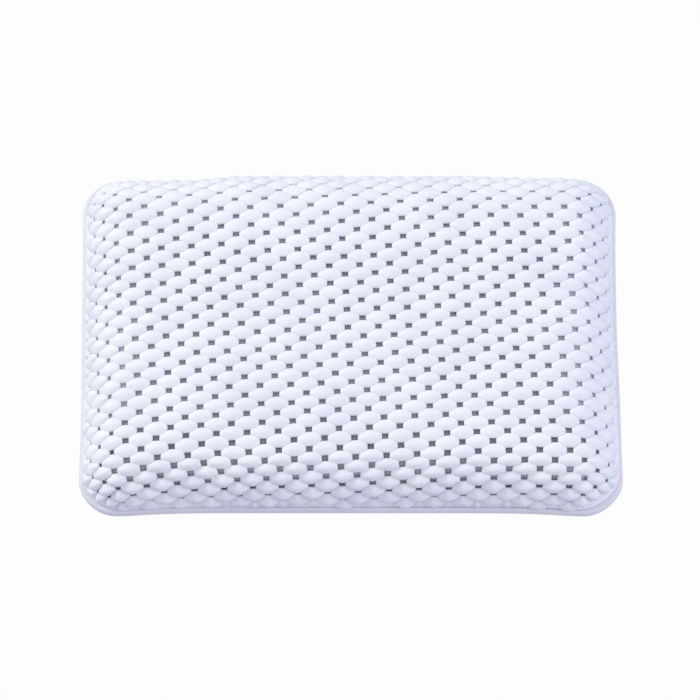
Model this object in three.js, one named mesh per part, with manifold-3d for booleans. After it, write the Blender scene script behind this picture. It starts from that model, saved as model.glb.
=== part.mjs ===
// A bath pillow: a foamed PVC net drawn over a sponge core and welded into a smooth PVC back tray
// that carries six snap-in suction cups, each held by a reinforcing washer inside the tray.
// Millimetres, +Z up. The origin is the middle of the footprint, on the plane of the cup rims.
// +X runs along the pillow's width and +Y across its depth, towards the edge that is uppermost in use.
import * as THREE from "three";
import { mergeVertices } from "three/addons/utils/BufferGeometryUtils.js";
import Module from "manifold-3d";

const wasm = await Module();
wasm.setup();

// Overall sizes, at the four corners, where the pillow is widest
const pillowWidth = 320;
const pillowDepth = 216;
const sideDrawIn = 2; // how far the two long sides pull in from the corners
const endDrawIn = 0.6; // and the two short ends
const seatGap = 0.3; // between two pieces that seat on each other

// Back tray: a smooth sheet whose edge turns up into a soft round rim
const traySheet = 3;
const trayRimHeight = 8.5;
const trayCornerRadius = 23;
const trayFloorInset = 7; // from the rim's outermost line to where the floor lies flat
const trayFillet = 1.2; // inside, between floor and rim

// Net: rows of foamed ovals that merge at their corners and leave square gaps
const netThickness = 5.6;
const netEdgeRadius = 22; // how far in from its foot the net rounds over
const netEdgeRise = 28; // how high it climbs there
const netCrown = 7.2; // how much higher the middle of the top stands
const netFootHeight = 2.7; // from the tray's floor to the foot of the rounding
const cellLength = 18; // from one oval to the next along a row of the moulded sheet
const cellWidth = 11.3; // and across the rows
const gapLength = 4;
const gapWidth = 2.9;
const cellTurn = THREE.MathUtils.degToRad(3); // the rows run a little askew to the pillow
const cellsDrawnAs = 2; // each oval here stands for this many along and across the moulded sheet
const hemThickness = 3; // the net's pressed edge, which is welded inside the tray's rim
const hemHeight = 7;

// Sponge core
const corePocketGap = 1; // round the cup heads and washers

// Suction cups and the washers that their necks snap through
const cupColumns = 3;
const cupRows = 2;
const cupPitchX = 105;
const cupPitchY = 112;
const cupDiameter = 40;
const cupHeight = 11;
const cupHollow = 6.5; // depth of the hollow underside
const cupLip = 1.4; // width of the flat rim that meets the wall of the tub
const cupLipHeight = 0.9;
const cupShoulderDiameter = 17;
const cupNeckDiameter = 8;
const cupHeadDiameter = 14;
const cupHeadHeight = 4.2;
const neckClearance = 0.4; // round the neck in its hole
const washerDiameter = 24;
const washerThickness = 1.6;

// Levels that follow from those sizes
const trayBottom = cupHeight + seatGap;
const trayFloor = trayBottom + traySheet;
const rimTop = trayBottom + trayRimHeight;
const netFoot = trayFloor + netFootHeight;
const washerBottom = trayFloor + seatGap;
const headBottom = washerBottom + washerThickness + seatGap;

// Half sizes of the net's middle surface at its foot, inside the rim
const netInset = traySheet + seatGap + hemThickness / 2;
const netHalfX = pillowWidth / 2 - netInset;
const netHalfY = pillowDepth / 2 - netInset;

// Facet counts
const cornerSteps = 5;
const sideSteps = 6;
const roundSteps = 24;
const pocketSteps = 12;

const foamWhite = new THREE.MeshStandardMaterial({ color: 0xf4f6fb, roughness: 0.7, metalness: 0 });
const sheetWhite = new THREE.MeshStandardMaterial({ color: 0xeceef6, roughness: 0.45, metalness: 0 });
const spongeWhite = new THREE.MeshStandardMaterial({ color: 0xe6e8ed, roughness: 1, metalness: 0 });
const clearPvc = new THREE.MeshStandardMaterial({
  color: 0xe3ebf0,
  roughness: 0.2,
  metalness: 0,
  transparent: true,
  opacity: 0.6,
});

// Closed geometry and solids

function solidOf(geometry) {
  const bare = geometry.clone();
  bare.deleteAttribute("normal");
  bare.deleteAttribute("uv");
  const merged = mergeVertices(bare, 1e-4);
  return new wasm.Manifold(
    new wasm.Mesh({
      numProp: 3,
      vertProperties: merged.attributes.position.array,
      triVerts: new Uint32Array(merged.index.array),
    }),
  );
}

function geometryOf(solid) {
  const { vertProperties, triVerts } = solid.getMesh();
  const geometry = new THREE.BufferGeometry();
  geometry.setAttribute("position", new THREE.BufferAttribute(vertProperties, 3));
  geometry.setIndex(new THREE.BufferAttribute(triVerts, 1));
  geometry.computeVertexNormals();
  return geometry;
}

function indexedGeometry(points, triangles) {
  const geometry = new THREE.BufferGeometry().setFromPoints(points);
  geometry.setIndex(triangles);
  geometry.computeVertexNormals();
  return geometry;
}

// Rings of equal point count, from the middle of the underside outwards and over to the middle of the
// top, joined into one closed skin. The first and last ring are closed to their centres.
function loft(rings) {
  const count = rings[0].length;
  const points = rings.flat();
  const triangles = [];
  for (let r = 0; r + 1 < rings.length; r++) {
    for (let k = 0; k < count; k++) {
      const a = r * count + k;
      const b = r * count + ((k + 1) % count);
      triangles.push(a, b, a + count, b, b + count, a + count);
    }
  }
  const centreOf = (ring) =>
    ring.reduce((sum, p) => sum.add(p), new THREE.Vector3()).divideScalar(count);
  const first = points.push(centreOf(rings[0])) - 1;
  const last = points.push(centreOf(rings.at(-1))) - 1;
  const lastStart = (rings.length - 1) * count;
  for (let k = 0; k < count; k++) {
    const next = (k + 1) % count;
    triangles.push(first, next, k);
    triangles.push(last, lastStart + k, lastStart + next);
  }
  return indexedGeometry(points, triangles);
}

// The soft outline: a rounded rectangle whose sides pull in between its corners

// A share that holds along a side and eases to nothing where the corners start
function pullIn(along, straightHalf) {
  const share = Math.min(1, Math.abs(along) / straightHalf);
  return (1 - share ** 8) ** 2;
}

function drawnIn(x, y) {
  const halfX = pillowWidth / 2;
  const halfY = pillowDepth / 2;
  return new THREE.Vector2(
    x * (1 - (endDrawIn * pullIn(y, halfY - trayCornerRadius)) / halfX),
    y * (1 - (sideDrawIn * pullIn(x, halfX - trayCornerRadius)) / halfY),
  );
}

function roundedRing(halfX, halfY, radius, heightAt) {
  const corners = [[1, 1], [-1, 1], [-1, -1], [1, -1]];
  const outline = corners.map(([sx, sy], quarter) =>
    Array.from({ length: cornerSteps + 1 }, (_, k) => {
      const angle = (quarter + k / cornerSteps) * (Math.PI / 2);
      return new THREE.Vector2(
        sx * (halfX - radius) + radius * Math.cos(angle),
        sy * (halfY - radius) + radius * Math.sin(angle),
      );
    }),
  );
  const ring = outline.flatMap((corner, quarter) => {
    const start = corner.at(-1);
    const end = outline[(quarter + 1) % corners.length][0];
    const side = Array.from({ length: sideSteps - 1 }, (_, k) =>
      start.clone().lerp(end, (k + 1) / sideSteps),
    );
    return [...corner, ...side];
  });
  return ring.map((p) => {
    const q = drawnIn(p.x, p.y);
    return new THREE.Vector3(q.x, q.y, heightAt(p.x, p.y));
  });
}

// The crowned surface that the net and the core share

function crownAt(x, y) {
  const shareX = Math.min(1, Math.abs(x) / netHalfX);
  const shareY = Math.min(1, Math.abs(y) / netHalfY);
  return netCrown * (1 - shareX ** 4) * (1 - shareY ** 4);
}

// A place on the sheet, measured along it from the middle, carried onto the crowned surface.
// The sheet lies flat in the middle, bends over the edges, and closes up round the corners.
function onCrown(u, v) {
  const bendRadius = (netEdgeRadius + netEdgeRise) / 2;
  const flatX = netHalfX - netEdgeRadius;
  const flatY = netHalfY - netEdgeRadius;
  const bendX = Math.max(0, Math.abs(u) - flatX) / bendRadius;
  const bendY = Math.max(0, Math.abs(v) - flatY) / bendRadius;
  const bend = Math.hypot(bendX, bendY);
  const reach = bend > 0 ? Math.sin(Math.min(bend, Math.PI / 2)) / bend : 1;
  const x = Math.sign(u) * (Math.min(Math.abs(u), flatX) + netEdgeRadius * reach * bendX);
  const y = Math.sign(v) * (Math.min(Math.abs(v), flatY) + netEdgeRadius * reach * bendY);
  const below = Math.max(0, bend - Math.PI / 2) * bendRadius;
  const rise = netEdgeRise * Math.cos(Math.min(bend, Math.PI / 2));
  const q = drawnIn(x, y);
  return new THREE.Vector3(q.x, q.y, netFoot + rise - below + crownAt(x, y));
}

function offCrown(u, v, lift) {
  const step = 0.5;
  const alongU = onCrown(u + step, v).sub(onCrown(u - step, v));
  const alongV = onCrown(u, v + step).sub(onCrown(u, v - step));
  const outward = alongU.cross(alongV).normalize();
  return onCrown(u, v).addScaledVector(outward, lift);
}

function standsClearOfRim(u, v) {
  return onCrown(u, v).z > rimTop;
}

// The net of ovals

const halfCellU = (cellLength * cellsDrawnAs) / 2;
const halfCellV = (cellWidth * cellsDrawnAs) / 2;
const ovalHalfU = ((cellLength - gapLength) * cellsDrawnAs) / 2;
const ovalHalfV = ((cellWidth - gapWidth) * cellsDrawnAs) / 2;

function sheetPlace(s, t) {
  return [
    s * Math.cos(cellTurn) - t * Math.sin(cellTurn),
    s * Math.sin(cellTurn) + t * Math.cos(cellTurn),
  ];
}

// Ovals stand on the black squares of a chequer and gaps on the white ones. Each oval is cut off
// where it meets its four diagonal neighbours, and shares the points of that seam with them.
function ovalLattice() {
  const points = [];
  const triangles = [];
  const shared = new Map();

  const add = (s, t, lift) => points.push(offCrown(...sheetPlace(s, t), lift)) - 1;
  const addShared = (key, s, t, lift) => {
    if (!shared.has(key)) shared.set(key, add(s, t, lift));
    return shared.get(key);
  };
  const hasOval = (i, j) => standsClearOfRim(...sheetPlace(i * halfCellU, j * halfCellV));

  // The seam with a diagonal neighbour, in shares of the oval's half sizes
  const seamMiddle = new THREE.Vector2(halfCellU / 2 / ovalHalfU, halfCellV / 2 / ovalHalfV);
  const seamReach = Math.sqrt(1 - seamMiddle.lengthSq());
  const seamRun = new THREE.Vector2(seamMiddle.y, -seamMiddle.x).setLength(seamReach);
  const seamNearU = seamMiddle.clone().add(seamRun);
  const seamNearV = seamMiddle.clone().sub(seamRun);
  const freeMiddle = seamMiddle.clone().setLength(1);
  const seamLift = (seamReach * netThickness) / 2;

  // The flat on top of an oval, as a ring of six points
  const topRing = [0, 55, 125, 180, 235, 305].map(THREE.MathUtils.degToRad);
  const topShare = 0.58;
  const topLift = netThickness / 2;

  const addOval = (i, j) => {
    const s = i * halfCellU;
    const t = j * halfCellV;
    const upper = [];
    const lower = [];
    for (const [si, sj] of [[1, 1], [-1, 1], [-1, -1], [1, -1]]) {
      const seam = `${2 * i + si},${2 * j + sj}`;
      const joined = hasOval(i + si, j + sj);
      const at = (p) => [s + si * p.x * ovalHalfU, t + sj * p.y * ovalHalfV];
      const nearU = addShared(`${seam} by ${i + si},${j}`, ...at(seamNearU), 0);
      const nearV = addShared(`${seam} by ${i},${j + sj}`, ...at(seamNearV), 0);
      const middle = joined
        ? [seamLift, -seamLift].map((lift) => addShared(`${seam} at ${lift}`, ...at(seamMiddle), lift))
        : Array(2).fill(add(...at(freeMiddle), 0));
      const inOrder = (m) => (si * sj > 0 ? [nearU, m, nearV] : [nearV, m, nearU]);
      upper.push(...inOrder(middle[0]));
      lower.push(...inOrder(middle[1]));
    }
    const top = topRing.map((angle) =>
      add(
        s + topShare * ovalHalfU * Math.cos(angle),
        t + topShare * ovalHalfV * Math.sin(angle),
        topLift,
      ),
    );

    // Each of the six top points fans out to its stretch of the twelve rim points
    const stretches = [[11, 0], [0, 1, 2], [2, 3, 4, 5], [5, 6], [6, 7, 8], [8, 9, 10, 11]];
    stretches.forEach((stretch, k) => {
      stretch.slice(1).forEach((outer, n) => {
        triangles.push(top[k], upper[stretch[n]], upper[outer]);
      });
      triangles.push(top[k], upper[stretch.at(-1)], top[(k + 1) % top.length]);
    });
    for (let k = 1; k + 1 < top.length; k++) triangles.push(top[0], top[k], top[k + 1]);
    const under = add(s, t, -seamLift);
    lower.forEach((rim, k) => triangles.push(under, lower[(k + 1) % lower.length], rim));
  };

  const sheetReach = netHalfX + netHalfY;
  const lastI = Math.ceil(sheetReach / halfCellU);
  const lastJ = Math.ceil(sheetReach / halfCellV);
  for (let i = -lastI; i <= lastI; i++) {
    for (let j = -lastJ; j <= lastJ; j++) {
      if ((i + j) % 2 === 0 && hasOval(i, j)) addOval(i, j);
    }
  }
  return indexedGeometry(points, triangles);
}

// The pressed edge of the net, a band that stands inside the tray's rim, clear of its inner fillet
function netHem() {
  const bottom = trayFloor + trayFillet;
  const ring = (side, height) =>
    roundedRing(
      netHalfX + (side * hemThickness) / 2,
      netHalfY + (side * hemThickness) / 2,
      netEdgeRadius + (side * hemThickness) / 2,
      () => height,
    );
  const outer = solidOf(loft([ring(1, bottom), ring(1, bottom + hemHeight)]));
  const inner = solidOf(loft([ring(-1, bottom - 1), ring(-1, bottom + hemHeight + 1)]));
  return outer.subtract(inner);
}

function frontNet() {
  const aboveRim = new THREE.BoxGeometry(2 * pillowWidth, 2 * pillowDepth, pillowDepth);
  aboveRim.translate(0, 0, rimTop + seatGap + pillowDepth / 2);
  const ovals = solidOf(ovalLattice()).intersect(solidOf(aboveRim));
  return geometryOf(ovals.add(netHem()));
}

// The sponge core, a crowned block that fills the net and is hollowed out over each cup's head

function foamCore(cupPlaces) {
  const inset = netThickness / 2 + seatGap;
  const bottom = trayFloor + seatGap;
  const halfX = netHalfX - inset;
  const halfY = netHalfY - inset;
  const edge = netEdgeRadius - inset;
  const rise = netEdgeRise - inset;
  const crownedRing = (degrees, share = 1) => {
    const angle = THREE.MathUtils.degToRad(degrees);
    const reach = edge * Math.sin(angle);
    return roundedRing(
      share * (halfX - edge + reach),
      share * (halfY - edge + reach),
      share * reach,
      (x, y) => netFoot + rise * Math.cos(angle) + crownAt(x, y),
    );
  };
  const underEdge = 2;
  const rings = [
    roundedRing(halfX - underEdge, halfY - underEdge, edge - underEdge, () => bottom),
    roundedRing(halfX, halfY, edge, () => bottom + underEdge),
    ...[88, 60, 34, 10].map((degrees) => crownedRing(degrees)),
    ...[0.65, 0.3].map((share) => crownedRing(10, share)),
  ];
  const block = solidOf(loft(rings));
  const pocketTop = headBottom + cupHeadHeight + corePocketGap;
  const pocketRadius = Math.max(cupHeadDiameter, washerDiameter) / 2 + corePocketGap;
  const pocket = new THREE.CylinderGeometry(
    pocketRadius,
    pocketRadius,
    pocketTop - bottom + 1,
    pocketSteps,
  );
  pocket.rotateX(Math.PI / 2).translate(0, 0, (pocketTop + bottom - 1) / 2);
  const hollowed = cupPlaces.reduce(
    (solid, { x, y }) => solid.subtract(solidOf(pocket.clone().translate(x, y, 0))),
    block,
  );
  return geometryOf(hollowed);
}

// The back tray: floor, round edge, rim, and down the inside to the floor again

function backTray(cupPlaces) {
  const halfX = pillowWidth / 2;
  const halfY = pillowDepth / 2;
  const outside = (inset, height) =>
    roundedRing(halfX - inset, halfY - inset, trayCornerRadius - inset, () => height);
  const inside = (inset, height) => {
    const wall = hemThickness / 2 + seatGap - inset;
    return roundedRing(netHalfX + wall, netHalfY + wall, netEdgeRadius + wall, () => height);
  };
  const lip = traySheet / 4;
  const rings = [
    outside(trayFloorInset, trayBottom),
    outside(trayFloorInset * 0.45, trayBottom + trayRimHeight * 0.07),
    outside(trayFloorInset * 0.12, trayBottom + trayRimHeight * 0.28),
    outside(0, trayBottom + trayRimHeight * 0.55),
    outside(lip * 0.4, rimTop - lip),
    outside(lip * 1.4, rimTop),
    inside(-lip, rimTop),
    inside(0, rimTop - lip),
    inside(0, trayFloor + trayFillet),
    inside(trayFillet, trayFloor),
  ];
  const hole = new THREE.CylinderGeometry(
    cupNeckDiameter / 2 + neckClearance,
    cupNeckDiameter / 2 + neckClearance,
    3 * traySheet,
    roundSteps,
  );
  hole.rotateX(Math.PI / 2).translate(0, 0, trayBottom + traySheet / 2);
  const pierced = cupPlaces.reduce(
    (solid, { x, y }) => solid.subtract(solidOf(hole.clone().translate(x, y, 0))),
    solidOf(loft(rings)),
  );
  return geometryOf(pierced);
}

// Round pieces, turned about +Z

function turned(profile) {
  return new THREE.LatheGeometry(profile, roundSteps).rotateX(Math.PI / 2);
}

// A suction cup in one moulding: hollow underside, flat lip, flared skirt, neck and mushroom head
function suctionCup() {
  const radius = cupDiameter / 2;
  const shoulder = cupShoulderDiameter / 2;
  const neck = cupNeckDiameter / 2;
  const head = cupHeadDiameter / 2;
  const headTop = headBottom + cupHeadHeight;
  const innerLip = radius - cupLip;
  const outline = new THREE.Path();
  outline.moveTo(0, cupHollow);
  outline.quadraticCurveTo(innerLip * 0.62, cupHollow, innerLip, 0);
  outline.lineTo(radius, 0);
  outline.lineTo(radius, cupLipHeight);
  outline.quadraticCurveTo(shoulder * 1.35, cupHollow * 0.75, shoulder, cupHeight - cupLipHeight);
  outline.quadraticCurveTo(shoulder, cupHeight, shoulder - cupLipHeight, cupHeight);
  outline.lineTo(neck, cupHeight);
  outline.lineTo(neck, headBottom);
  outline.lineTo(head - cupLipHeight, headBottom);
  outline.quadraticCurveTo(head, headBottom, head, headBottom + cupLipHeight);
  outline.quadraticCurveTo(head * 0.92, headTop, 0, headTop);
  return turned(outline.getPoints(3));
}

function cupWasher() {
  const inner = cupNeckDiameter / 2 + neckClearance;
  const outer = washerDiameter / 2;
  const bevel = washerThickness / 4;
  const top = washerBottom + washerThickness;
  const profile = [
    [inner, washerBottom],
    [outer, washerBottom],
    [outer, top - bevel],
    [outer - bevel, top],
    [inner, top],
    [inner, washerBottom],
  ];
  return turned(profile.map(([r, z]) => new THREE.Vector2(r, z)));
}

// The assembly

function cupGrid() {
  const places = [];
  for (let row = 0; row < cupRows; row++) {
    for (let column = 0; column < cupColumns; column++) {
      places.push({
        x: (column - (cupColumns - 1) / 2) * cupPitchX,
        y: (row - (cupRows - 1) / 2) * cupPitchY,
      });
    }
  }
  return places;
}

function named(name, geometry, material) {
  const mesh = new THREE.Mesh(geometry, material);
  mesh.name = name;
  return mesh;
}

const cupPlaces = cupGrid();
const pillow = new THREE.Group();
pillow.add(named("front_net", frontNet(), foamWhite));
pillow.add(named("foam_core", foamCore(cupPlaces), spongeWhite));
pillow.add(named("back_tray", backTray(cupPlaces), sheetWhite));

const cupGeometry = suctionCup();
const washerGeometry = cupWasher();
cupPlaces.forEach(({ x, y }, k) => {
  const station = new THREE.Group();
  station.position.set(x, y, 0);
  station.add(named(`suction_cup_${k + 1}`, cupGeometry, clearPvc));
  station.add(named(`cup_washer_${k + 1}`, washerGeometry, sheetWhite));
  pillow.add(station);
});

export default pillow;
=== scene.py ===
import bpy
import numpy as np
from mathutils import Euler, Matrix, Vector


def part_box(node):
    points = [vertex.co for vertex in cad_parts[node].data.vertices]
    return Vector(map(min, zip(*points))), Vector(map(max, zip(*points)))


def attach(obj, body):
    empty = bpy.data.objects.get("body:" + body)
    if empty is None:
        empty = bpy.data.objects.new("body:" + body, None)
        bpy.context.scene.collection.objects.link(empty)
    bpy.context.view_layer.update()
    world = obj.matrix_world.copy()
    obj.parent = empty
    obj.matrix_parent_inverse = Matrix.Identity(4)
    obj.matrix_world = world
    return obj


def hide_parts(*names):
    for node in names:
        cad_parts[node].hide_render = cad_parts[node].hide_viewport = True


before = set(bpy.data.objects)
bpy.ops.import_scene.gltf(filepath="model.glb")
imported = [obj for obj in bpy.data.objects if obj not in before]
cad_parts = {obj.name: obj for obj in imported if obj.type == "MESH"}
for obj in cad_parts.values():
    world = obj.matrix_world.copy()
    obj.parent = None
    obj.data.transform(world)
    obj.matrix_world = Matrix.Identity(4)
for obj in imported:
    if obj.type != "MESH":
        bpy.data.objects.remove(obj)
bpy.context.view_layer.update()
print("frame loaded")

mm = 0.001  # the script works in millimetres and writes metres


def sizeOf(node):  # lowest and highest corner of a CAD node, in millimetres
    low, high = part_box(node)
    return np.array(low) / mm, np.array(high) / mm


trayLow, trayHigh = sizeOf("back_tray")
coreBottom = sizeOf("foam_core")[0][2]
cupNodes = sorted(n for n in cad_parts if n.startswith("suction_cup"))
washerNodes = sorted(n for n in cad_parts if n.startswith("cup_washer"))


# materials

def toLinear(hexColour):  # sRGB hex to the linear values that Blender's sockets take
    srgb = np.array([int(hexColour[k:k + 2], 16) for k in (1, 3, 5)]) / 255
    linear = np.where(srgb <= 0.04045, srgb / 12.92, ((srgb + 0.055) / 1.055) ** 2.4)
    return (*linear, 1.0)


def addNode(tree, kind, settings=None, inputs=None, links=None):  # one node with its settings, values and links
    node = tree.nodes.new(kind)
    for name, value in (settings or {}).items():
        setattr(node, name, value)
    for name, value in (inputs or {}).items():
        node.inputs[name].default_value = value
    for name, source in (links or {}).items():
        tree.links.new(source, node.inputs[name])
    return node


def newMaterial(name, sockets):  # a material of one shader with these values on its sockets
    material = bpy.data.materials.new(name)
    material.use_nodes = True
    tree = material.node_tree
    tree.nodes.clear()
    shader = addNode(tree, "ShaderNodeBsdfPrincipled", inputs=sockets)
    output = addNode(tree, "ShaderNodeOutputMaterial", links={"Surface": shader.outputs[0]})
    return material, tree, shader, output


toneStops = 0.35, 0.65  # where on the noise the first tone ends and the second one is reached


def grainyMaterial(name, look, pattern, height, sockets):
    # the colour drifts between the look's two tones in Object space, under a bump of its grain's size
    material, tree, shader, _ = newMaterial(name, sockets)
    place = addNode(tree, "ShaderNodeTexCoord").outputs["Object"]
    drift = addNode(tree, "ShaderNodeTexNoise",
                    inputs={"Scale": 1 / (look["driftMm"] * mm), "Detail": look["driftDetail"]},
                    links={"Vector": place})
    tone = addNode(tree, "ShaderNodeValToRGB", links={"Fac": drift.outputs["Fac"]})
    for end, stop, colour in zip(tone.color_ramp.elements, toneStops, look["tone"]):
        end.position, end.color = stop, toLinear(colour)
    grain = addNode(tree, pattern,
                    inputs={"Scale": 1 / (look["grainMm"] * mm), "Detail": look["grainDetail"]},
                    links={"Vector": place})
    bump = addNode(tree, "ShaderNodeBump",
                   inputs={"Distance": look["grainDepthMm"] * mm, "Strength": look["grainStrength"]},
                   links={"Height": grain.outputs[height]})
    tree.links.new(tone.outputs["Color"], shader.inputs["Base Color"])
    tree.links.new(bump.outputs["Normal"], shader.inputs["Normal"])
    return material


netFoam = {"tone": ("#eceff8", "#f3f5fb"), "driftMm": 24, "driftDetail": 3,
           "grainMm": 0.9, "grainDetail": 2,  # real cells are finer, drawn this coarse to show
           "grainDepthMm": 0.05, "grainStrength": 0.6, "roughness": 0.5, "ior": 1.5}


def foamedPvc():
    # foamed PVC with a closed skin: near white and satin, with the fine grain of its cells
    return grainyMaterial("foamedPvcNet", netFoam, "ShaderNodeTexNoise", "Fac",
                          {"Roughness": netFoam["roughness"], "IOR": netFoam["ior"]})


backPvc = {"tone": ("#dfe0ea", "#e6e7f0"), "driftMm": 40, "driftDetail": 3, "grainMm": 1.4, "grainDetail": 2,
           "grainDepthMm": 0.03, "grainStrength": 0.5, "roughness": 0.38, "ior": 1.53}


def smoothPvc():
    # calendered soft PVC sheet: smooth, a faint lilac white, with a low satin shine
    return grainyMaterial("calenderedPvcSheet", backPvc, "ShaderNodeTexNoise", "Fac",
                          {"Roughness": backPvc["roughness"], "IOR": backPvc["ior"]})


spongeLook = {"tone": ("#c6c9d1", "#d9dce3"), "driftMm": 5, "driftDetail": 5, "grainMm": 1.1, "grainDetail": 0,
              "grainDepthMm": 0.3, "grainStrength": 1.0, "roughness": 1.0, "shine": 0.1}


def openSponge():
    # open-cell polyether sponge: a dull light grey, pitted all over by its cells
    return grainyMaterial("openCellSponge", spongeLook, "ShaderNodeTexVoronoi", "Distance",
                          {"Roughness": spongeLook["roughness"], "Specular IOR Level": spongeLook["shine"]})


cupLook = {"tone": ("#d7e3ea", "#e6eef2"), "driftMm": 12, "driftDetail": 3, "grainMm": 3.0, "grainDetail": 1,
           "grainDepthMm": 0.04, "grainStrength": 1.0, "roughness": 0.12, "ior": 1.53, "clear": 0.75}


def clearPvc():
    # soft clear PVC, injection moulded: glossy, lets light through with a faint blue cast, slightly rippled
    return grainyMaterial("clearSoftPvc", cupLook, "ShaderNodeTexNoise", "Fac",
                          {"Roughness": cupLook["roughness"], "IOR": cupLook["ior"],
                           "Transmission Weight": cupLook["clear"]})


netMaterial = foamedPvc()
trayMaterial = smoothPvc()
spongeMaterial = openSponge()
cupMaterial = clearPvc()
print("materials made")


# shared helpers for surfaces on grids

def softNoise(x, y, spacing, seed):
    # random heights on a square grid, eased from each to the next
    size = 64
    table = np.random.default_rng(seed).uniform(-1, 1, (size, size))
    gridX, gridY = x / spacing + size / 2, y / spacing + size / 2
    ix, iy = np.floor(gridX).astype(int), np.floor(gridY).astype(int)
    fx, fy = gridX - ix, gridY - iy
    fx, fy = fx * fx * (3 - 2 * fx), fy * fy * (3 - 2 * fy)
    corner = lambda a, b: table[(ix + a) % size, (iy + b) % size]
    near = corner(0, 0) * (1 - fx) + corner(1, 0) * fx
    far = corner(0, 1) * (1 - fx) + corner(1, 1) * fx
    return near * (1 - fy) + far * fy


def smoothStep(low, high, value):  # 0 below low, 1 above high, eased between
    t = np.clip((value - low) / (high - low), 0, 1)
    return t * t * (3 - 2 * t)


def newPiece(name, points, faces, material, body, nodes, slot):
    # points in millimetres and faces as one smooth mesh, with what it rides on and the nodes it stands for
    mesh = bpy.data.meshes.new(name)
    mesh.from_pydata(points * mm, [], faces)
    mesh.polygons.foreach_set("use_smooth", np.ones(len(mesh.polygons), dtype=bool))
    mesh.materials.append(material)
    piece = bpy.data.objects.new(name, mesh)
    bpy.context.scene.collection.objects.link(piece)
    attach(piece, body)
    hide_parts(*nodes)
    return piece


def wrappedFaces(rows, columns):
    # quads of a grid whose columns run round and close, each ring joined to the next
    k = np.arange(columns)
    start = np.arange(rows - 1)[:, None] * columns
    a, b = start + k, start + (k + 1) % columns
    return np.stack([a, b, b + columns, a + columns], axis=-1).reshape(-1, 4)


def closedLoft(rings):
    # rings from the middle of the underside outwards and over to the middle of the top, both ends closed to
    # a point
    rows, columns = rings.shape[:2]
    points = np.concatenate([rings.reshape(-1, 3), [rings[0].mean(axis=0), rings[-1].mean(axis=0)]])
    k = np.arange(columns)
    after = (k + 1) % columns
    last = (rows - 1) * columns
    under = np.stack([np.full(columns, rows * columns), after, k], axis=-1)
    over = np.stack([np.full(columns, rows * columns + 1), last + k, last + after], axis=-1)
    return points, wrappedFaces(rows, columns).tolist() + under.tolist() + over.tolist()


# the pillow's outline; a span is the two places, in millimetres, between which a change grows

outline = {
    "cornerSteps": 20, "sideSteps": 48, "cornerRadius": 23.0,
    "drawInX": 0.6, "drawInY": 2.0, "drawInPower": 8,  # how far the ends and the long sides pull in
    "slumpLeft": 4.2, "slumpRight": 3.7, "slumpSpan": (60, 155),  # the two back corners
    "frontIn": 1.0, "frontSpan": (80, 104),  # the whole front edge
    # the back's left half is drawn in, and the right end flares out towards the front
    "backIn": 1.6, "backSpan": (84, 104), "backStart": (60, 95), "backEnd": (-148, -128),
    "flareRight": 1.0, "flareSpan": (140, 158), "flareStart": (-10, 60), "flareEnd": (86, 104),
    "lean": 0.5, "leanSpan": (-30, 20),  # the back half leans to the left
}
halfX, halfY = trayHigh[:2]


def outlineColumns():
    # once round a rounded rectangle: which corner each column belongs to and which way it faces there
    quarter = np.arange(4)[:, None]
    turn = (quarter + np.linspace(0, 1, outline["cornerSteps"] + 1)) * np.pi / 2
    signX, signY = np.array([1, -1, -1, 1]), np.array([1, 1, -1, -1])
    slide = np.linspace(0, 1, outline["sideSteps"] + 1)[1:-1]
    cornerX = np.repeat(signX[:, None], turn.shape[1], axis=1)
    cornerY = np.repeat(signY[:, None], turn.shape[1], axis=1)
    sideX = signX[:, None] * (1 - slide) + np.roll(signX, -1)[:, None] * slide
    sideY = signY[:, None] * (1 - slide) + np.roll(signY, -1)[:, None] * slide
    end = np.repeat(turn[:, -1:], len(slide), axis=1)
    join = lambda corner, side: np.concatenate([corner, side], axis=1).ravel()
    facing = join(turn, end)
    return join(cornerX, sideX), join(cornerY, sideY), np.cos(facing), np.sin(facing)


columnX, columnY, facingX, facingY = outlineColumns()
leastRadius = 1  # no ring's corner is tighter than this


def drawnIn(x, y):
    # each side pulls in a little, easing to nothing where the corners start; then the slumps, the drawn-in
    # edges, the flare and the lean that soft goods take on, each a distance times the spans it grows over
    def pull(along, straight):  # one less a power of the distance from the side's middle, squared
        share = np.minimum(1, np.abs(along) / straight)
        return (1 - share ** o["drawInPower"]) ** 2

    o = outline
    slump = o["slumpLeft"] * smoothStep(*o["slumpSpan"], -x) + o["slumpRight"] * smoothStep(*o["slumpSpan"], x)
    slump = slump * np.clip(y / halfY, 0, 1) - o["frontIn"] * smoothStep(*o["frontSpan"], -y)
    backIn = o["backIn"] * smoothStep(*o["backSpan"], y)
    slump = slump + backIn * smoothStep(*o["backStart"], -x) * smoothStep(*o["backEnd"], x)
    flare = o["flareRight"] * smoothStep(*o["flareSpan"], x)
    flare = flare * smoothStep(*o["flareStart"], -y) * (1 - smoothStep(*o["flareEnd"], -y))
    flare = flare - o["lean"] * smoothStep(*o["leanSpan"], y) * (x / halfX) ** 2
    return (x * (1 - o["drawInX"] * pull(y, halfY - o["cornerRadius"]) / halfX) + flare,
            y * (1 - o["drawInY"] * pull(x, halfX - o["cornerRadius"]) / halfY) - slump)


def roundedRings(reachX, reachY, radius, heights):
    # one ring of the soft rounded rectangle for each half width, half depth, corner radius and height
    upright = lambda values: np.asarray(values, float)[:, None]
    reachX, reachY, radius, heights = map(upright, (reachX, reachY, radius, heights))
    x = columnX * (reachX - radius) + facingX * radius
    y = columnY * (reachY - radius) + facingY * radius
    return np.stack([*drawnIn(x, y), heights + 0 * x], axis=-1)


# the crowned surface under the net

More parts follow.
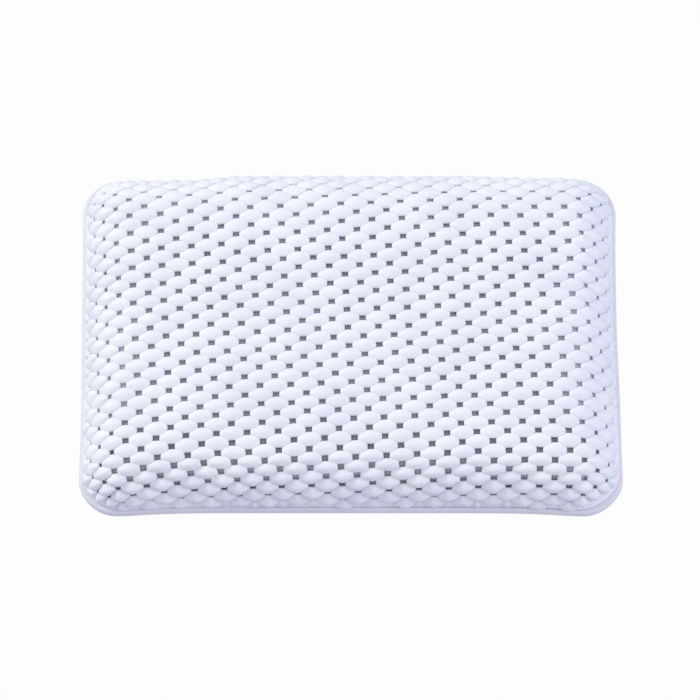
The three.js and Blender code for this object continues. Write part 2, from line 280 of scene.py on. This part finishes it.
crown = {
    "inset": 4.8, "foot": 17.0,  # from the tray's outline in to the sheet's foot, and the foot's height
    "edgeRadius": 22.0, "edgeRise": 28.0,  # how far in the sheet rounds over and how high it climbs there
    "crown": 7.2, "power": 4,  # how much higher the middle stands, and how late the top falls away
    "bendSoftness": 1.5,  # how gently the flat top goes over into the bend
    "tuck": 2.4,  # how far below the foot the sheet's edge ends, inside the rim
}
traySheet = 3.0
netHalfX, netHalfY = halfX - crown["inset"], halfY - crown["inset"]
netFoot = crown["foot"]
rimTop = trayHigh[2]
trayFloor = trayLow[2] + traySheet


def crownAt(x, y):  # the crown's height times one less a power of the distance from the middle, both ways
    shareX, shareY = np.minimum(1, np.abs(x) / netHalfX), np.minimum(1, np.abs(y) / netHalfY)
    return crown["crown"] * (1 - shareX ** crown["power"]) * (1 - shareY ** crown["power"])


def crownedSheet(u, v):
    # a place on the sheet, measured along it from the middle, carried onto the pillow: flat, then a quarter
    # ellipse over each edge, then a short tuck that stops above the tray's floor; round a corner the two
    # bends join into one, so the sheet closes up there
    bendRadius = (crown["edgeRadius"] + crown["edgeRise"]) / 2
    soft = crown["bendSoftness"]
    overX = soft * np.logaddexp(0, (np.abs(u) - netHalfX + crown["edgeRadius"]) / soft)
    overY = soft * np.logaddexp(0, (np.abs(v) - netHalfY + crown["edgeRadius"]) / soft)
    bend = np.maximum(np.hypot(overX, overY) / bendRadius, 1e-9)
    turned = np.minimum(bend, np.pi / 2)
    reach = crown["edgeRadius"] / bendRadius * np.sin(turned) / bend
    x = np.sign(u) * (np.abs(u) - overX + reach * overX)
    y = np.sign(v) * (np.abs(v) - overY + reach * overY)
    below = crown["tuck"] * (1 - np.exp(-(bend - turned) * bendRadius / crown["tuck"]))
    z = netFoot + crown["edgeRise"] * np.cos(turned) - below + crownAt(x, y)
    return np.stack([*drawnIn(x, y), z], axis=-1)


def sheetNormal(u, v, step=0.2):  # square to a short step along u and one along v
    alongU = crownedSheet(u + step, v) - crownedSheet(u - step, v)
    alongV = crownedSheet(u, v + step) - crownedSheet(u, v - step)
    normal = np.cross(alongU, alongV)
    return normal / np.linalg.norm(normal, axis=-1, keepdims=True)


# front net

net = {
    "halfCell": (8.963, 5.718), "count": 60,  # from an oval to the next gap, and how many are counted each way
    "gap": (3.2, 2.5), "corner": 0.22,  # a gap's size, and its corner's place on the way to the next gap
    "drawn": (0.3, 0.85),  # half cells from a gap over which less and less is drawn to it
    "rowTurn": 0.0453, "columnTurn": 0.058,  # how far rows and columns run askew, in radians
    "start": (-0.5, -13.9),  # the gap that the count starts from
    # how far the columns crowd in beside each corner, left then right
    "gatherFront": (3.5, 2.5), "gatherBack": (1.0, 1.3),
    "gatherFrontSpan": (70, 118), "gatherBackSpan": (50, 95), "gatherAcross": (20, 100),
    # how far the rows have slid, front to back, and how much more of that at the ends, front then back
    "rowShift": ((-116, -108, -100, -90, -82, -70, 40, 60, 80, 100),
                 (0, -0.6, -0.9, -0.75, -0.4, 0, 0, 0.25, 0.6, 0.8)),
    "endShift": (0.5, -1), "endShiftSpan": (100, 140),
    "rise": 3.0, "underRise": 0.25,  # how far an oval stands out of the sheet, outside and inside
    "rings": (0.36, 0.7, 0.91), "seamStops": (0, 0.15, 0.85, 1),  # points out from its middle and along a seam
    "edgeRise": 0.45, "seamRise": (0.49, 0.38), "leastRise": 0.04,  # shares of the rise that are left there
    "valley": 6, "rounder": 0.2,  # how late the dome dips towards a seam, and how much rounder it is
    "wander": 0.35, "wanderMm": 14,  # small drift of the ovals
    "uneven": 0.1, "unevenMm": 11,  # and of their rise
    "bunched": 0.28, "bunchedMm": 8, "bunchedSpan": (2, 9),  # which varies more just above the rim
    "inRim": 0.4, "inRimSpan": (-0.8, 1.0),  # share of the rise that is left inside the rim
    # how far above the tray's floor the last ovals' middles lie, and how much higher at the front right corner
    "lowest": 1.8, "bareCorner": 6.7, "bareSpan": ((125, 148), (45, 75)),
    "seed": 7,
}
# on each slope: tilts of the sheet in degrees and the share of a gap that has closed there, how much of that
# closes along the slope too, how far the ovals swell and how much deeper they are
slopes = {
    "front": {"tilt": (2, 10, 22, 38, 48, 58, 70), "shut": (0, -0.15, -0.3, -0.2, -0.1, 0.25, 0.45),
              "along": 0.1, "swell": 0.4, "deeper": 0.62},
    "side": {"tilt": (8, 25, 45, 70), "shut": (0, 0.3, 0.45, 0.6),
             "along": 0.5, "swell": 0.0, "deeper": 0.22},
    "back": {"tilt": (2, 5, 7, 12, 20), "shut": (0, 0.08, 0.19, 0.44, 0.5),
             "along": 0.1, "swell": 0.1, "deeper": 0.2},
}
# how squarely a slope has to face front or back to count as one, and the tilts over which the ovals change
slopeSpans = {"facing": (0.3, 0.9), "swell": (30, 65), "deeper": (5, 42)}


def sheetPlace(p, q):
    # lattice millimetres along and across the rows to the sheet's own u and v: turned, then the columns
    # crowded in and the rows slid
    u0, v0 = net["start"]
    u = u0 + p * np.cos(net["rowTurn"]) - q * np.sin(net["columnTurn"])
    v = v0 + p * np.sin(net["rowTurn"]) + q * np.cos(net["columnTurn"])
    crowd = np.where(u < 0, *net["gatherFront"]) * smoothStep(*net["gatherFrontSpan"], -v)
    crowd = crowd + np.where(u < 0, *net["gatherBack"]) * smoothStep(*net["gatherBackSpan"], v)
    atEnds = np.where(v < 0, *net["endShift"]) * smoothStep(*net["endShiftSpan"], np.abs(u))
    slid = np.interp(v, *net["rowShift"]) * (1 + atEnds)
    return u - np.sign(u) * crowd * smoothStep(*net["gatherAcross"], np.abs(u)), v + slid


def ovalSites():
    # a chequer of half cells: gaps on the even squares, ovals on the odd ones that lie above the hem
    reach = np.arange(-net["count"], net["count"] + 1)
    i, j = (a.ravel() for a in np.meshgrid(reach, reach, indexing="ij"))
    odd = (i + j) % 2 != 0
    i, j = i[odd], j[odd]
    x, y, z = crownedSheet(*sheetPlace(i * net["halfCell"][0], j * net["halfCell"][1])).T
    spanX, spanY = net["bareSpan"]
    bare = net["bareCorner"] * smoothStep(*spanX, x) * smoothStep(*spanY, -y)
    keep = z > trayFloor + net["lowest"] + bare
    return i[keep], j[keep]


def ovalEdge():
    # once round an oval, in half cells from its middle: a straight side at each gap, then a straight seam
    # with the next diagonal neighbour, from one gap's corner to the next one's
    corner, stops = net["corner"], np.array(net["seamStops"])
    seam = np.stack([1 - corner - stops * (1 - 2 * corner), corner + stops * (1 - 2 * corner)], axis=-1)
    turns = [seam, seam[::-1] * (-1, 1), -seam, seam[::-1] * (1, -1)]
    merged = (stops > 0) & (stops < 1)
    return np.concatenate(turns), np.tile(merged, 4), np.repeat(np.arange(4), len(stops))


def netSurface():
    # each oval is a low dome, one less the square of the distance from its middle, that drops to the sheet at
    # its gaps and dips at its four seams, so two ovals meet in a crease
    i, j = ovalSites()
    edge, merged, diagonal = ovalEdge()
    count, stops = len(i), len(edge)
    sites = list(zip(i.tolist(), j.tolist()))
    taken = set(sites)
    diagonals = [(1, 1), (-1, 1), (-1, -1), (1, -1)]
    joined = np.array([[(a + da, b + db) in taken for da, db in diagonals] for a, b in sites])
    seamed = joined[:, diagonal] & merged
    far = np.hypot(*edge.T) / np.hypot(*edge.T).max()

    def ring(share, rise):  # lattice places and rise share of one ring of every oval
        p = (i[:, None] + share * edge[:, 0]) * net["halfCell"][0]
        q = (j[:, None] + share * edge[:, 1]) * net["halfCell"][1]
        return np.stack([p, q, rise + 0 * p], axis=-1)

    dome = lambda share: net["edgeRise"] + (1 - net["edgeRise"]) * (1 - (share * far) ** 2)
    seam = np.array(net["seamRise"])[diagonal % 2]  # falling and rising diagonals crease differently
    dip = seamed * (dome(1) - seam)
    lift = seamed * seam
    middle = np.stack([i * net["halfCell"][0], j * net["halfCell"][1], 0 * i + 1.0], axis=-1)[:, None]
    levels = [middle] + [ring(s, dome(s) - dip * s ** net["valley"]) for s in net["rings"]]
    levels += [ring(1, lift), ring(1, -lift), middle * (1, 1, -1)]
    places = np.concatenate(levels, axis=1)  # every oval's points, level by level
    starts = np.cumsum([0] + [level.shape[1] for level in levels])
    k = np.arange(stops)
    after = (k + 1) % stops
    quads = [np.stack([a + k, b + k, b + after, a + after], axis=-1)
             for a, b in zip(starts[1:-4], starts[2:-3])]
    triangles = [np.stack([0 * k, starts[1] + k, starts[1] + after], axis=-1),
                 np.stack([0 * k + starts[-2], starts[-3] + after, starts[-3] + k], axis=-1)]
    inSeam = diagonal[k] == diagonal[after]
    creases = starts[-4] + np.stack([k, after], axis=-1)[inSeam]
    first = np.arange(count)[:, None, None] * places.shape[1]
    quads = (np.concatenate(quads) + first).reshape(-1, 4)
    triangles = (np.concatenate(triangles) + first).reshape(-1, 3)
    creases = (creases + first).reshape(-1, 2)

    # points that two ovals, or an oval's outside and inside, have in common become one; they are told by their
    # place in steps of 1/5000 mm, set off so that no place falls between two steps
    flat = places.reshape(-1, 3)
    steps = np.round(flat * 5000 + 0.123).astype(np.int64)
    _, keep, same = np.unique(steps, axis=0, return_index=True, return_inverse=True)
    same = same.ravel()
    return flat[keep], same[quads], same[triangles], same[creases]


def slopeChanges(u, v):
    # with the sheet's tilt its gaps close, down the slope more than along it: soonest on the back slope and
    # last on the front one, where they open first; the ovals swell there and their domes get deeper
    facing = sheetNormal(u, v)
    tilt = np.degrees(np.arccos(np.clip(facing[:, 2], -1, 1)))
    level = facing[:, :2] / (np.linalg.norm(facing[:, :2], axis=1, keepdims=True) + 1e-6)
    back, front = (smoothStep(*slopeSpans["facing"], side) for side in (level[:, 1], -level[:, 1]))
    weights = {"front": front, "side": 1 - front - back, "back": back}
    blend = lambda part: sum(weights[name] * part(slopes[name]) for name in slopes)
    shut = blend(lambda s: np.interp(tilt, s["tilt"], s["shut"]))
    along = blend(lambda s: s["along"])
    swell = blend(lambda s: s["swell"]) * smoothStep(*slopeSpans["swell"], tilt)
    deeper = blend(lambda s: s["deeper"]) * smoothStep(*slopeSpans["deeper"], tilt)
    down = np.abs(level) / (np.abs(level).sum(axis=1, keepdims=True) + 1e-6)
    closed = shut[:, None] * (along[:, None] + (1 - along[:, None]) * down)
    return closed[:, 0], closed[:, 1], swell, deeper


def nearestGap(p, q):  # the gap that a lattice place belongs to and how far it lies from it, in half cells
    a, b = p / net["halfCell"][0], q / net["halfCell"][1]
    i, j = np.round(a), np.round(b)
    odd = (i + j) % 2 != 0
    sideways = odd & (np.abs(a - i) > np.abs(b - j))
    i = i + sideways * np.where(a > i, 1, -1)
    j = j + (odd & ~sideways) * np.where(b > j, 1, -1)
    return i, j, a - i, b - j


def placeNet(lattice):
    # every point is drawn towards its nearest gap, most at the gap's edge and not at all at an oval's middle,
    # until the gap has its size less what has closed; then the sheet's place plus the rise along its normal,
    # uneven above the rim and flattened inside it
    p, q, share = lattice.T
    shutU, shutV, swell, deeper = slopeChanges(*sheetPlace(p, q))
    i, j, awayU, awayV = nearestGap(p, q)
    pull = 1 - smoothStep(*net["drawn"], np.hypot(awayU, awayV))
    openU, openV = (g / (2 * net["corner"] * c) for g, c in zip(net["gap"], net["halfCell"]))
    u, v = sheetPlace((i + awayU * (1 - pull * (1 - openU * (1 - shutU)))) * net["halfCell"][0],
                      (j + awayV * (1 - pull * (1 - openV * (1 - shutV)))) * net["halfCell"][1])
    u = u + net["wander"] * softNoise(u, v, net["wanderMm"], net["seed"])
    v = v + net["wander"] * softNoise(u, v, net["wanderMm"], net["seed"] + 1)
    base = crownedSheet(u, v)
    aboveRim = lambda span: smoothStep(rimTop + span[0], rimTop + span[1], base[:, 2])
    dome = np.clip(1 - (1 - share) * (1 + deeper), net["leastRise"], 1) ** (1 + net["rounder"])
    rise = np.where(share > 0, net["rise"] * (1 + swell) * dome, net["underRise"] * share)
    rise = rise * (1 + net["uneven"] * softNoise(u, v, net["unevenMm"], net["seed"] + 2))
    bunched = net["bunched"] * (1 - aboveRim(net["bunchedSpan"]))
    rise = rise * (1 + bunched * softNoise(u, v, net["bunchedMm"], net["seed"] + 3))
    rise = rise * (net["inRim"] + (1 - net["inRim"]) * aboveRim(net["inRimSpan"]))
    return base + rise[:, None] * sheetNormal(u, v)


def markCreases(mesh, pairs):  # the edges between these points are shaded as creases
    edges = np.empty(len(mesh.edges) * 2, dtype=np.int32)
    mesh.edges.foreach_get("vertices", edges)
    size = len(mesh.vertices)
    key = lambda ends: np.sort(ends, axis=1) @ np.array([size, 1], dtype=np.int64)
    sharp = np.isin(key(edges.reshape(-1, 2).astype(np.int64)), key(pairs.astype(np.int64)))
    mesh.attributes.new("sharp_edge", "BOOLEAN", "EDGE").data.foreach_set("value", sharp)


hem = {
    "half": 1.5, "topHalf": 0.2,  # half its thickness inside the rim and at its top
    "low": 1.2, "seat": -0.5, "above": 6.0,  # heights: over the tray's floor, then from the rim's top
    "flange": (2.8, 2.2), "flangeHigh": (2.4, 0.7),  # at the ends, then at the front and back
    "flangeEdge": (0.2, 0.4, 0.6),  # heights over the seat where its edge is full, starts in and has begun
}


def hemSurface():
    # the pressed edge of the net: a band inside the rim that spreads over the rim's top as a flange, then
    # follows the sheet up and thins out between the last ovals
    low, seat, top = trayFloor + hem["low"], rimTop + hem["seat"], rimTop + hem["above"]
    full, starts, begun = hem["flangeEdge"]
    over = np.linspace(seat + begun, top, 9)
    innerZ = np.linspace(top, low, 8)
    inner = -hem["topHalf"] - (hem["half"] - hem["topHalf"]) * (1 - smoothStep(rimTop, top, innerZ))
    height = np.concatenate([[low, seat, seat, seat + full], over, innerZ])
    climbed = np.maximum(0, height - netFoot) / crown["edgeRise"]
    inward = crown["edgeRadius"] * (1 - np.sqrt(1 - climbed ** 2))

    def bandOut(flange, flangeHigh):  # how far out of the sheet's foot the band stands, once round it
        spread = 1 - smoothStep(seat + starts, rimTop + flangeHigh, over)
        outer = hem["topHalf"] + (flange - hem["topHalf"]) * spread
        return np.concatenate([[hem["half"], hem["half"], flange - full, flange], outer, inner]) - inward

    outX, outY = (bandOut(*sizes) for sizes in zip(hem["flange"], hem["flangeHigh"]))
    rings = roundedRings(netHalfX + outX, netHalfY + outY, crown["edgeRadius"] + (outX + outY) / 2, height)
    rows, columns = rings.shape[:2]
    return rings.reshape(-1, 3), wrappedFaces(rows + 1, columns) % (rows * columns)


lattice, netQuads, netTriangles, netCreases = netSurface()
netPoints = placeNet(lattice)
hemPoints, hemQuads = hemSurface()
frontNet = newPiece("frontNet", np.concatenate([netPoints, hemPoints]),
                    netQuads.tolist() + netTriangles.tolist() + (hemQuads + len(netPoints)).tolist(),
                    netMaterial, "pillow", ["front_net"], "net_foam")
markCreases(frontNet.data, netCreases)
print("front net:", len(netPoints), "points")


# pieces with holes are cut by round plugs

cupPlaces = [np.mean(sizeOf(n), axis=0)[:2] for n in cupNodes]
plugSpare = 5  # how far a plug reaches past the face that it opens


def roundPlugs(radius, low, high, steps=48):
    # one closed cylinder over each cup: two rings, ends closed to a point
    turn = np.linspace(0, 2 * np.pi, steps, endpoint=False)
    points, faces = [], []
    for x, y in cupPlaces:
        ring = np.stack([x + radius * np.cos(turn), y + radius * np.sin(turn), 0 * turn], axis=-1)
        plug, plugFaces = closedLoft(np.stack([ring + (0, 0, low), ring + (0, 0, high)]))
        start = sum(len(p) for p in points)
        points.append(plug)
        faces += [[start + k for k in f] for f in plugFaces]
    mesh = bpy.data.meshes.new("plugs")
    mesh.from_pydata(np.concatenate(points) * mm, [], faces)
    plugs = bpy.data.objects.new("plugs", mesh)
    bpy.context.scene.collection.objects.link(plugs)
    return plugs


def pierce(piece, plugs):  # the plugs are taken out of the piece's mesh and then removed
    cut = piece.modifiers.new("pierce", "BOOLEAN")
    cut.operation, cut.object, cut.solver = "DIFFERENCE", plugs, "MANIFOLD"
    bpy.context.view_layer.update()
    whole = bpy.data.meshes.new_from_object(piece.evaluated_get(bpy.context.evaluated_depsgraph_get()))
    piece.modifiers.clear()
    piece.data = whole
    bpy.data.objects.remove(plugs)


# back tray

tray = {
    "floorInset": 7.0, "widest": 4.7,  # from the outline in to the flat floor, and the widest line's height
    "lipIn": 1.8, "fillet": 1.2,
    "hem": 1.5, "gap": 0.3,  # room for the net's hem, and round it
    "floorIn": (60, 30), "floorEdge": 4,  # how far in the rings of the floor lie
    "wallRing": 3, "halfRound": 0.3,  # the inside wall's first ring, and the share at a rounding's middle one
    "neckHole": 4.4, "waver": 0.35, "waverMm": 38, "waverFrom": 1, "seed": 3,
}


def traySurface():
    # profile: floor, quarter ellipse out to the widest line, quarter ellipse up to the lip, down the inside
    # wall to the floor again; the rim's height wavers softly
    low, rim = trayLow[2], trayHigh[2] - trayLow[2]
    floorFar, floorNear = tray["floorIn"]
    t = np.linspace(0, np.pi / 2, 10)
    floorIn = np.linspace(floorFar, tray["floorInset"] + tray["floorEdge"], 6)
    out = np.concatenate([floorIn, tray["floorInset"] * (1 - np.sin(t)), tray["lipIn"] * (1 - np.cos(t[1:]))])
    height = np.concatenate([0 * floorIn, tray["widest"] * (1 - np.cos(t)),
                             tray["widest"] + (rim - tray["widest"]) * np.sin(t[1:])])
    radius = np.maximum(outline["cornerRadius"] - out, leastRadius)
    outer = roundedRings(halfX - out, halfY - out, radius, low + height)
    wall = tray["hem"] + tray["gap"]
    lip, fillet, depth = traySheet / 4, tray["fillet"], rim - traySheet
    lipHalf, filletHalf = lip * tray["halfRound"], fillet * tray["halfRound"]
    inset = np.array([-lip, -lipHalf, 0, 0, 0, filletHalf, fillet, floorNear, floorFar])
    drop = np.array([0, lipHalf, lip, tray["wallRing"],
                     depth - fillet, depth - filletHalf, depth, depth, depth])
    reach = wall - inset
    inner = roundedRings(netHalfX + reach, netHalfY + reach,
                         np.maximum(crown["edgeRadius"] + reach, leastRadius), rimTop - drop)
    rings = np.concatenate([outer, inner])
    x, y, z = np.moveaxis(rings, -1, 0)
    rise = smoothStep(low + tray["waverFrom"], low + rim, z) * tray["waver"]
    rings[..., 2] += rise * softNoise(x, y, tray["waverMm"], tray["seed"]) - rise
    return closedLoft(rings)


backTray = newPiece("backTray", *traySurface(), trayMaterial, "pillow", ["back_tray"], "back_sheet")
pierce(backTray, roundPlugs(tray["neckHole"], trayLow[2] - plugSpare, trayFloor + plugSpare))
print("back tray:", len(backTray.data.vertices), "points")


# sponge core

core = {
    "clearance": 0.4, "underEdge": 2.0,
    "drop": 0.6, "dropSpanX": (105, 140), "dropSpanY": (55, 85),  # lower under the middle of the net
    "frontDrop": 1.1, "frontSpan": (45, 80), "frontIn": 0.8, "frontInSpan": (80, 104),  # and towards the front
    "lumps": 0.2, "lumpMm": 22, "seed": 5,
    "pocketRadius": 13.0, "pocketTop": 21.7,
    # rings: of the underside, over the bend to its last angle in degrees, and in to the top's middle
    "underIn": (70, 8), "bendRings": 24, "flattest": 4, "topRings": 16, "topShares": (0.94, 0.06),
}


def coreSurface():
    # the crowned form set in from the net: flat underside, short wall, quarter ellipse over, crowned top
    inset = core["clearance"]
    edge, rise = crown["edgeRadius"] - inset, crown["edgeRise"] - inset
    reachX, reachY = netHalfX - inset, netHalfY - inset
    underFar, underNear = core["underIn"]
    t = np.linspace(0, np.pi / 2, 6)
    flatIn = np.linspace(underFar, core["underEdge"] + underNear, 5)
    underIn = np.concatenate([flatIn, core["underEdge"] * (1 - np.sin(t))])
    underUp = np.concatenate([0 * flatIn, core["underEdge"] * (1 - np.cos(t))])
    under = roundedRings(reachX - underIn, reachY - underIn, np.maximum(edge - underIn, leastRadius),
                         coreBottom + underUp)
    bend = np.radians(np.linspace(90, core["flattest"], core["bendRings"]))
    shrink = np.concatenate([np.ones(len(bend)), np.linspace(*core["topShares"], core["topRings"])])
    bend = np.concatenate([bend, np.full(core["topRings"], bend[-1])])
    out = edge * np.sin(bend)
    over = roundedRings(shrink * (reachX - edge + out), shrink * (reachY - edge + out), shrink * out,
                        netFoot + rise * np.cos(bend))
    over[..., 2] += crownAt(over[..., 0], over[..., 1])
    x, y = over[..., 0], over[..., 1]
    middle = (1 - smoothStep(*core["dropSpanX"], np.abs(x))) * (1 - smoothStep(*core["dropSpanY"], y))
    front = smoothStep(*core["frontSpan"], -y)
    over[..., 2] -= core["drop"] * middle + core["frontDrop"] * front
    over[..., 2] -= core["lumps"] * (1 + softNoise(x, y, core["lumpMm"], core["seed"]))
    over[..., 1] += core["frontIn"] * smoothStep(*core["frontInSpan"], -y)
    return closedLoft(np.concatenate([under, over]))


foamCore = newPiece("foamCore", *coreSurface(), spongeMaterial, "pillow", ["foam_core"], "sponge")
pierce(foamCore, roundPlugs(core["pocketRadius"], coreBottom - plugSpare, core["pocketTop"]))
print("foam core:", len(foamCore.data.vertices), "points")


# suction cups

cup = {
    "radius": 20.0, "height": 11.0, "hollow": 6.5, "lip": 1.4, "lipHeight": 0.9, "shoulder": 8.5,
    "neck": 4.0, "head": 7.0, "headLow": 16.5, "headTop": 20.7, "steps": 72,
    "hollowBow": 0.62, "skirtBow": (1.35, 0.75), "headBow": 0.92,  # where the long curves are pulled to
    "lipEdge": 0.15, "shoulderRound": (0.9, 0.6), "neckRound": (0.6, 0.5), "headRound": (0.9, 1.2),
    "skirtStep": 0.1, "headStep": 0.05,  # small steps between a curve and the next
    "axis": 0.05,  # how near its axis the profile starts and ends
}


def bowed(start, control, end, stops):  # a quadratic curve from start to end, pulled towards control
    t = np.linspace(0, 1, stops)[:, None]
    start, control, end = (np.array(p, float) for p in (start, control, end))
    return (1 - t) ** 2 * start + 2 * t * (1 - t) * control + t ** 2 * end


def cupSurface(x, y):
    # one profile of radius and height, turned about the cup's own axis: hollow, lip, skirt, neck and head
    c = cup
    inner = c["radius"] - c["lip"]
    shoulder, neck, head, low, top = c["shoulder"], c["neck"], c["head"], c["headLow"], c["headTop"]
    hollow, radius, lipTop, height = c["hollow"], c["radius"], c["lipHeight"], c["height"]
    bowOut, bowUp = c["skirtBow"]
    across, down = c["shoulderRound"]
    neckLow, neckHigh = c["neckRound"]
    headLow, headHigh = c["headRound"]
    profile = np.concatenate([
        bowed((c["axis"], hollow), (inner * c["hollowBow"], hollow), (inner, 0), 18),
        bowed((inner + c["lipEdge"], 0), (radius, 0), (radius, lipTop), 7),
        bowed((radius - c["lipEdge"], lipTop + c["skirtStep"]), (shoulder * bowOut, hollow * bowUp),
              (shoulder, height - lipTop), 18),
        bowed((shoulder, height - down), (shoulder, height), (shoulder - across, height), 5),
        bowed((neck + neckLow, height), (neck, height), (neck, height + neckLow), 5),
        bowed((neck, low - neckHigh), (neck, low), (neck + neckHigh, low), 5),
        bowed((head - headLow, low), (head, low), (head, low + headLow), 5),
        bowed((head - c["headStep"], low + headHigh), (head * c["headBow"], top), (c["axis"], top), 12),
    ])
    turn = np.linspace(0, 2 * np.pi, c["steps"], endpoint=False)
    rings = np.stack([x + profile[:, :1] * np.cos(turn), y + profile[:, :1] * np.sin(turn),
                      profile[:, 1:] + 0 * turn], axis=-1)
    return closedLoft(rings)


for number, (node, (x, y)) in enumerate(zip(cupNodes, cupPlaces), start=1):
    newPiece(f"suctionCup{number}", *cupSurface(x, y), cupMaterial, f"cup_{number}", [node], "cup_pvc")
for node in washerNodes:
    washer = bpy.data.objects[node]
    washer.data.materials.clear()
    washer.data.materials.append(trayMaterial)
print("suction cups:", len(cupNodes))


# floor, light and camera

studio = {"floor": "#9d9fbd", "floorGlow": 0.97, "floorSide": 6000.0, "floorLevel": -0.2,
          "world": (0.875, 0.887, 0.955), "worldStrength": 0.8}


def whiteFloor():
    # a matt floor that takes a faint shadow; camera, mirror and clear rays also see its own white, and from
    # below it is clear, so the cups show
    material, tree, shader, output = newMaterial("paleFloor", {"Roughness": 1.0,
                                                               "Base Color": toLinear(studio["floor"])})
    path = addNode(tree, "ShaderNodeLightPath")
    seen = addNode(tree, "ShaderNodeMath", settings={"operation": "MAXIMUM"},
                   links={0: path.outputs["Is Camera Ray"], 1: path.outputs["Is Glossy Ray"]})
    seen = addNode(tree, "ShaderNodeMath", settings={"operation": "MAXIMUM"},
                   links={0: seen.outputs[0], 1: path.outputs["Is Transmission Ray"]})
    glow = addNode(tree, "ShaderNodeEmission", inputs={"Color": (1, 1, 1, 1), "Strength": 1.0})
    share = addNode(tree, "ShaderNodeMath", settings={"operation": "MULTIPLY"},
                    inputs={1: studio["floorGlow"]}, links={0: seen.outputs[0]})
    mix = addNode(tree, "ShaderNodeMixShader",
                  links={0: share.outputs[0], 1: shader.outputs[0], 2: glow.outputs[0]})
    side = addNode(tree, "ShaderNodeNewGeometry")
    clear = addNode(tree, "ShaderNodeBsdfTransparent")
    both = addNode(tree, "ShaderNodeMixShader",
                   links={0: side.outputs["Backfacing"], 1: mix.outputs[0], 2: clear.outputs[0]})
    tree.links.new(both.outputs[0], output.inputs["Surface"])
    return material


def floorPlane():  # one square round the origin, a hair below the cups' lips
    square = np.array([(-1, -1, 0), (1, -1, 0), (1, 1, 0), (-1, 1, 0)])
    corners = square * studio["floorSide"] / 2 + (0, 0, studio["floorLevel"])
    mesh = bpy.data.meshes.new("floor")
    mesh.from_pydata(corners * mm, [], [(0, 1, 2, 3)])
    mesh.materials.append(whiteFloor())
    floor = bpy.data.objects.new("floor", mesh)
    bpy.context.scene.collection.objects.link(floor)


lamps = {
    "key": {"at": (-3010, 1600, 1920), "size": 1300, "watts": 58.5, "colour": (0.97, 1.0, 0.86)},
    "fill": {"at": (2000, -150, 1250), "size": 1200, "watts": 12.8, "colour": (0.84, 0.855, 1.0)},
}
lampAim = (0, 0, 30)  # the middle of the pillow


def areaLamp(name, at, size, watts, colour):  # a round soft lamp that faces the aim
    data = bpy.data.lights.new(name, "AREA")
    data.shape, data.size, data.energy, data.color = "DISK", size * mm, watts, colour
    lamp = bpy.data.objects.new(name, data)
    lamp.location = Vector(at) * mm
    lamp.rotation_euler = (Vector(lampAim) - Vector(at)).to_track_quat("-Z", "Y").to_euler()
    bpy.context.scene.collection.objects.link(lamp)


view = {"tilt": 0.3376, "distance": 3057.0, "pixelsPerMm": 1.68, "centre": (350.1, 344.1), "image": 700,
        "sensor": 36.0, "clipEnd": 100}


def photoCamera():
    # a long lens that looks down at the tilt found from the net's rows; the net's foot is its zero level
    data = bpy.data.cameras.new("camera")
    data.sensor_width = view["sensor"]
    data.lens = view["sensor"] * view["distance"] * view["pixelsPerMm"] / view["image"]
    data.clip_end = view["clipEnd"]
    turn = Euler((view["tilt"], 0, 0))
    half = view["image"] / 2
    across = (half - view["centre"][0]) / view["pixelsPerMm"]
    upward = (view["centre"][1] - half) / view["pixelsPerMm"]
    place = Vector((across, upward, view["distance"]))
    place.rotate(turn)
    camera = bpy.data.objects.new("camera", data)
    camera.location = (place + Vector((0, 0, netFoot))) * mm
    camera.rotation_euler = turn
    bpy.context.scene.collection.objects.link(camera)
    bpy.context.scene.camera = camera


def softWorld():
    # an even, faintly blue light from all round; the camera sees it as white
    world = bpy.data.worlds.new("softStudio")
    world.use_nodes = True
    tree = world.node_tree
    tree.nodes.clear()
    path = addNode(tree, "ShaderNodeLightPath")
    light = addNode(tree, "ShaderNodeBackground",
                    inputs={"Color": (*studio["world"], 1), "Strength": studio["worldStrength"]})
    white = addNode(tree, "ShaderNodeBackground", inputs={"Color": (1, 1, 1, 1), "Strength": 1.0})
    mix = addNode(tree, "ShaderNodeMixShader",
                  links={0: path.outputs["Is Camera Ray"], 1: light.outputs[0], 2: white.outputs[0]})
    addNode(tree, "ShaderNodeOutputWorld", links={"Surface": mix.outputs[0]})
    bpy.context.scene.world = world


floorPlane()
for name, lamp in lamps.items():
    areaLamp(name, **lamp)
photoCamera()
softWorld()
bpy.context.scene.view_settings.view_transform = "Standard"
print("floor, light and camera set")
